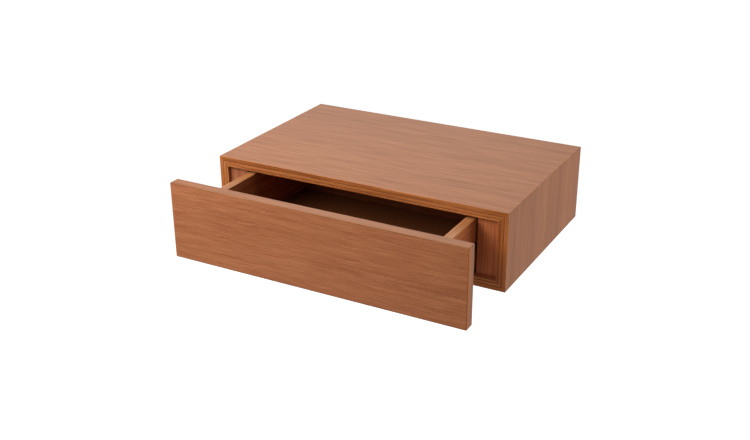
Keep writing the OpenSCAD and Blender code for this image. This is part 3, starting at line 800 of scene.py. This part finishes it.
# At a scale of 1 a wave's phase grows by WAVE_RATE radians a metre, so this gives one wave a pitch.
inputs = {"Vector": place, "Scale": math.tau / WAVE_RATE / SCREEN_PITCH}
wires = [add(tree, "ShaderNodeTexWave", inputs, out="Fac", bands_direction=way) for way in ("X", "Y")]
screen = add(tree, "ShaderNodeMath", {0: wires[0], 1: wires[1]}, operation="MULTIPLY")
pulp = add(tree, "ShaderNodeMath", {0: screen, 1: fibres}, operation="MULTIPLY")
rough = add(tree, "ShaderNodeMix", {0: pulp, 6: HARDBOARD_DARK, 7: HARDBOARD_LIGHT}, out=2, data_type="RGBA")
bottom_middle = sum(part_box("drawer_bottom"), Vector()).z / 2
height = add(tree, "ShaderNodeSeparateXYZ", {0: place}, out="Z")
under = add(tree, "ShaderNodeMath", {0: height, 1: bottom_middle}, operation="LESS_THAN")
colour = add(tree, "ShaderNodeMix", {0: under, 6: paint, 7: rough}, out=2, data_type="RGBA")
screen = add(tree, "ShaderNodeMath", {0: pulp, 1: under}, operation="MULTIPLY")
roughness = add(tree, "ShaderNodeMapRange", {0: under, 3: PAINT_ROUGHNESS, 4: SCREEN_ROUGHNESS})
surface(tree, colour, roughness, screen, SCREEN_DEPTH)
coat(frame["nodes"]["drawer_bottom"], painted)
grow("drawer_bottom_screws", wood_screw, upwards, screw_sizes, zinc)


# The corner joints of the drawer front: a fluted dowel and a cam bolt at each end. The bolt is turned
# steel, zinc-plated, with a coarse thread that bites into the fibreboard.
BOLT_THREAD = 9 * MM
BOLT_PITCH = 1.8 * MM
BOLT_COLLAR = 1 * MM
BOLT_HEAD = 2.4 * MM
BOLT_EASE = 0.5 * MM
BOLT_STEP = 0.05 * MM
# In radii of the head: the core, the thread's crest and the neck that the cam grips.
BOLT_CORE = 0.6
BOLT_CREST = 0.78
BOLT_NECK = 0.625

cam_bolt, given = new_group("cam_bolt", (
    "Start", "Nose radius", "Nose end", "Core radius", "Collar start", "Collar face", "Collar end",
    "Head radius", "Neck start", "Neck radius", "Neck end", "Head face", "Head ease", "Length",
    "Top radius", *THREAD_SIZES,
), Sides="Int")
tree = cam_bolt
ring = add(tree, "GeometryNodeCurvePrimitiveCircle", {"Resolution": given["Sides"], "Radius": 1.0})
bolt = turned(tree, ring, [
    (given["Start"], given["Nose radius"]),
    (given["Nose end"], given["Core radius"]),
    (given["Collar start"], given["Core radius"]),
    (given["Collar face"], given["Head radius"]),
    (given["Collar end"], given["Head radius"]),
    (given["Neck start"], given["Neck radius"]),
    (given["Neck end"], given["Neck radius"]),
    (given["Head face"], given["Head radius"]),
    (given["Head ease"], given["Head radius"]),
    (given["Length"], given["Top radius"]),
])
set_in_place(tree, given, [bolt, thread(tree, given)])


def bolt_sizes(length, width):
    """The cam bolt tree's sizes. The thread goes into the front, and the cam holds the head."""
    head = width / 2
    core = BOLT_CORE * head
    collar_end = BOLT_THREAD + BOLT_COLLAR
    neck_end = length - BOLT_HEAD
    sizes = thread_sizes(core, BOLT_CREST * head, BOLT_EASE, BOLT_THREAD - BOLT_EASE, BOLT_PITCH, BOLT_PITCH)
    sizes.update({
        "Nose radius": core / 2, "Nose end": BOLT_EASE, "Core radius": core, "Collar start": BOLT_THREAD,
        "Collar face": BOLT_THREAD + BOLT_STEP, "Collar end": collar_end - BOLT_STEP, "Head radius": head,
        "Neck start": collar_end, "Neck radius": BOLT_NECK * head, "Neck end": neck_end,
        "Head face": neck_end + BOLT_STEP, "Head ease": length - BOLT_EASE, "Length": length,
        "Top radius": head - BOLT_EASE, "Sides": SCREW_SIDES,
    })
    return sizes


grow("front_dowels", fluted_dowel, rearwards, dowel_sizes, beech)
grow("cam_bolts", cam_bolt, rearwards, bolt_sizes, zinc)


# The cam discs: die-cast zinc drums in the drawer sides that draw the bolts in as they turn. Casting
# leaves the metal grey, dull and slightly pitted.
CAST_LIGHT = "#A5A8AC"
CAST_DARK = "#85888C"
CAST_ROUGHNESS = 0.5
CAST_PIT = 0.5 * MM
CAST_DETAIL = 3.0
CAST_RELIEF = 0.05 * MM

cast, tree, place = new_material("cast_zinc")
pits = add(tree, "ShaderNodeTexNoise", {"Vector": place, "Scale": 1 / CAST_PIT, "Detail": CAST_DETAIL})
colour = add(tree, "ShaderNodeMix", {0: pits, 6: CAST_DARK, 7: CAST_LIGHT}, out=2, data_type="RGBA")
surface(tree, colour, CAST_ROUGHNESS, pits, CAST_RELIEF, Metallic=1.0)
coat(frame["nodes"]["cam_discs"], cast)


# The drawer front: a foiled board with its grain along the shelf, more rippled than the sleeve's, as in
# beech cut near the root.
FRONT_TONES = ("#BE7A51", "#9C5A38", "#784426")
FRONT_FIGURE = (0.3, 0.5, 0.8, 0.3, 2.0)
FRONT_RIPPLE = 3.0 * MM
FRONT_CUT = 41.0
FRONT_LEAN = 0.7

foil, tree, place = new_material("melamine_foil_drawer_front")
colour, relief = grain(tree, place, (1, 0, 0), (0, FRONT_LEAN, 1), (0, 0, FRONT_CUT), FRONT_TONES,
                       FRONT_FIGURE, ripple=FRONT_RIPPLE)
colour, roughness = cut_edges(tree, place, "drawer_front", (0, 1, 0), colour)
surface(tree, colour, roughness, relief, PRINT_RELIEF, Specular_IOR_Level=FOIL_GLOSS)
coat(frame["nodes"]["drawer_front"], foil)


# The drawer front's bands: ABS edging 1.2 mm thick, less orange than the box's, and rounded at the arrises,
# where the light catches them. On the ends, painted light turns the colour from a lit orange at the front to
# a paler tan at the back, which is a painted sheen.
SLAB_TONES = ("#A3673C", "#854D27", "#74462C")
LIT_ORANGE_TONES = ("#C87539", "#AC5F29")
SHEEN_TAN_TONES = ("#A86B37", "#95592C")
SHEEN_TURN = 2 * MM
SLAB_CUT = 51.0
SLAB_LEAN = 0.5
SLAB_EASE = 0.8 * MM

# Each band's grain, and the way across it.
front_bands = {
    "front_top_band": ((1, 0, 0), (0, 1, SLAB_LEAN)),
    "front_bottom_band": ((1, 0, 0), (0, 1, SLAB_LEAN)),
    "front_left_band": ((0, 0, 1), (SLAB_LEAN, 1, 0)),
    "front_right_band": ((0, 0, 1), (SLAB_LEAN, 1, 0)),
}
slab_arrises = box_arrises(*front_bands)
for number, (node, (along, across)) in enumerate(front_bands.items()):
    edging, tree, place = new_material("abs_edging_" + node)
    tones = list(SLAB_TONES)
    if along == (0, 0, 1):
        # Painted light: on the ends, lit orange at the front gives way to a tan painted sheen at the back.
        turn = sum(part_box(node), Vector()).y / 2
        depth = add(tree, "ShaderNodeSeparateXYZ", {0: place}, out="Y")
        inputs = {0: depth, 1: turn - SHEEN_TURN / 2, 2: turn + SHEEN_TURN / 2}
        share = add(tree, "ShaderNodeMapRange", inputs)
        for which, (orange, tan) in enumerate(zip(LIT_ORANGE_TONES, SHEEN_TAN_TONES)):
            inputs = {0: share, 6: orange, 7: tan}
            tones[which] = add(tree, "ShaderNodeMix", inputs, out=2, data_type="RGBA")
    colour, relief = grain(tree, place, along, across, (0, 0, SLAB_CUT + number), tones, TRIM_FIGURE)
    surface(tree, colour, EDGING_ROUGHNESS, relief, PRINT_RELIEF, Specular_IOR_Level=EDGING_GLOSS)
    stand_in(ease(merged(node), SLAB_EASE, slab_arrises), node, edging)


# The stop pegs: moulded nylon, pushed out through the drawer's sides from inside, which the fillers stop
# at full opening. Nylon is milky and satin, and its rims are round from the mould.
NYLON_LIGHT = "#EDEBE4"
NYLON_DARK = "#DEDBD2"
NYLON_ROUGHNESS = 0.4
NYLON_SKIN = 0.6 * MM
NYLON_DETAIL = 2.0
NYLON_RELIEF = 0.02 * MM
PEG_EASE = 0.5 * MM

nylon, tree, place = new_material("moulded_nylon")
skin = add(tree, "ShaderNodeTexNoise", {"Vector": place, "Scale": 1 / NYLON_SKIN, "Detail": NYLON_DETAIL})
colour = add(tree, "ShaderNodeMix", {0: skin, 6: NYLON_DARK, 7: NYLON_LIGHT}, out=2, data_type="RGBA")
surface(tree, colour, NYLON_ROUGHNESS, skin, NYLON_RELIEF)
for node in ("left_stop_peg", "right_stop_peg"):
    ends = [corner.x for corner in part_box(node)]
    work = ease(merged(node), PEG_EASE, lambda at: min(abs(at.x - end) for end in ends) < ON_SIDE)
    stand_in(work, node, nylon)


# The studio: a plain pale floor a metre below the shelf, where a room's floor would be, and a white sky.
# One large lamp hangs above, one stands behind, and one each in front and to the right. A weak low one
# on the left gives the light that a pale floor throws back.
FLOOR_HEIGHT = -1.0
FLOOR_SIZE = 12.0
FLOOR_COLOUR = "#E8E6E2"
FLOOR_GLOW = 0.9
WHITE = "#FFFFFF"
AMBIENT = 0.15
# Each lamp's place, the point it faces, its width and height in metres, and its power in watts.
LAMPS = {
    "top_lamp": ((0.0, -0.3, 1.3), (0.0, -0.2, 0.0), (0.6, 0.6), 4.3),
    "back_lamp": ((-0.7, 1.2, 0.8), (0.0, -0.1, 0.05), (1.2, 0.8), 6.0),
    "front_lamp": ((-0.4, -0.85, 0.6), (-0.1, -0.34, 0.0), (0.6, 0.6), 8.6),
    "right_lamp": ((1.2, 0.3, 0.1), (0.2, -0.1, 0.0), (0.8, 0.8), 6.9),
    "low_lamp": ((-0.5, -0.95, -0.6), (0.0, -0.34, 0.0), (1.0, 0.6), 1.0),
}


def background_ray(tree):
    """1 for the rays that show the background: the camera's, a reflection's and those through glass."""
    ray = tree.nodes.new("ShaderNodeLightPath").outputs
    inputs = {0: ray["Is Camera Ray"], 1: ray["Is Glossy Ray"]}
    seen = add(tree, "ShaderNodeMath", inputs, operation="MAXIMUM")
    return add(tree, "ShaderNodeMath", {0: seen, 1: ray["Is Transmission Ray"]}, operation="MAXIMUM")


mesh = bpy.data.meshes.new("floor")
half = FLOOR_SIZE / 2
corners = [(x * half, y * half, FLOOR_HEIGHT) for x, y in ((-1, -1), (1, -1), (1, 1), (-1, 1))]
mesh.from_pydata(corners, [], [(0, 1, 2, 3)])
floor = bpy.data.objects.new("floor", mesh)
bpy.context.scene.collection.objects.link(floor)
pale, tree, place = new_material("pale_floor")
matt = add(tree, "ShaderNodeBsdfDiffuse", {"Color": FLOOR_COLOUR})
strength = add(tree, "ShaderNodeMath", {0: background_ray(tree), 1: FLOOR_GLOW}, operation="MULTIPLY")
glow = add(tree, "ShaderNodeEmission", {"Color": WHITE, "Strength": strength})
both = add(tree, "ShaderNodeAddShader", {0: matt, 1: glow})
add(tree, "ShaderNodeOutputMaterial", {"Surface": both})
mesh.materials.append(pale)

sky = bpy.data.worlds.new("white_sky")
sky.use_nodes = True
tree = sky.node_tree
tree.nodes.clear()
lit = add(tree, "ShaderNodeBackground", {"Color": WHITE, "Strength": AMBIENT})
shown = add(tree, "ShaderNodeBackground", {"Color": WHITE, "Strength": 1.0})
mixed = add(tree, "ShaderNodeMixShader", {0: background_ray(tree), 1: lit, 2: shown})
add(tree, "ShaderNodeOutputWorld", {"Surface": mixed})
bpy.context.scene.world = sky

for name, (place, target, (width, height), power) in LAMPS.items():
    light = bpy.data.lights.new(name, "AREA")
    light.shape = "RECTANGLE"
    light.size = width
    light.size_y = height
    light.energy = power
    lamp = bpy.data.objects.new(name, light)
    lamp.location = place
    lamp.rotation_euler = (Vector(target) - Vector(place)).to_track_quat("-Z", "Y").to_euler()
    bpy.context.scene.collection.objects.link(lamp)


# The camera: a 50 mm lens in front of the shelf and to its right, which looks down on it at the
# photograph's viewing angle, with the photograph's slight roll.
CAMERA_PLACE = (0.588, -1.269, 0.521)
YAW = math.radians(28.78)
PITCH = math.radians(23.86)
ROLL = math.radians(-0.29)
LENS = 50.4
SENSOR = 36.0

camera_data = bpy.data.cameras.new("camera")
camera_data.sensor_width = SENSOR
camera_data.lens = LENS
camera = bpy.data.objects.new("camera", camera_data)
bpy.context.scene.collection.objects.link(camera)
ahead = Vector((-math.sin(YAW) * math.cos(PITCH), math.cos(YAW) * math.cos(PITCH), -math.sin(PITCH)))
level = ahead.to_track_quat("-Z", "Y").to_matrix()
camera.location = CAMERA_PLACE
camera.rotation_euler = (level @ Matrix.Rotation(ROLL, 3, "Z")).to_euler()
bpy.context.scene.camera = camera
bpy.context.scene.view_settings.view_transform = "Standard"
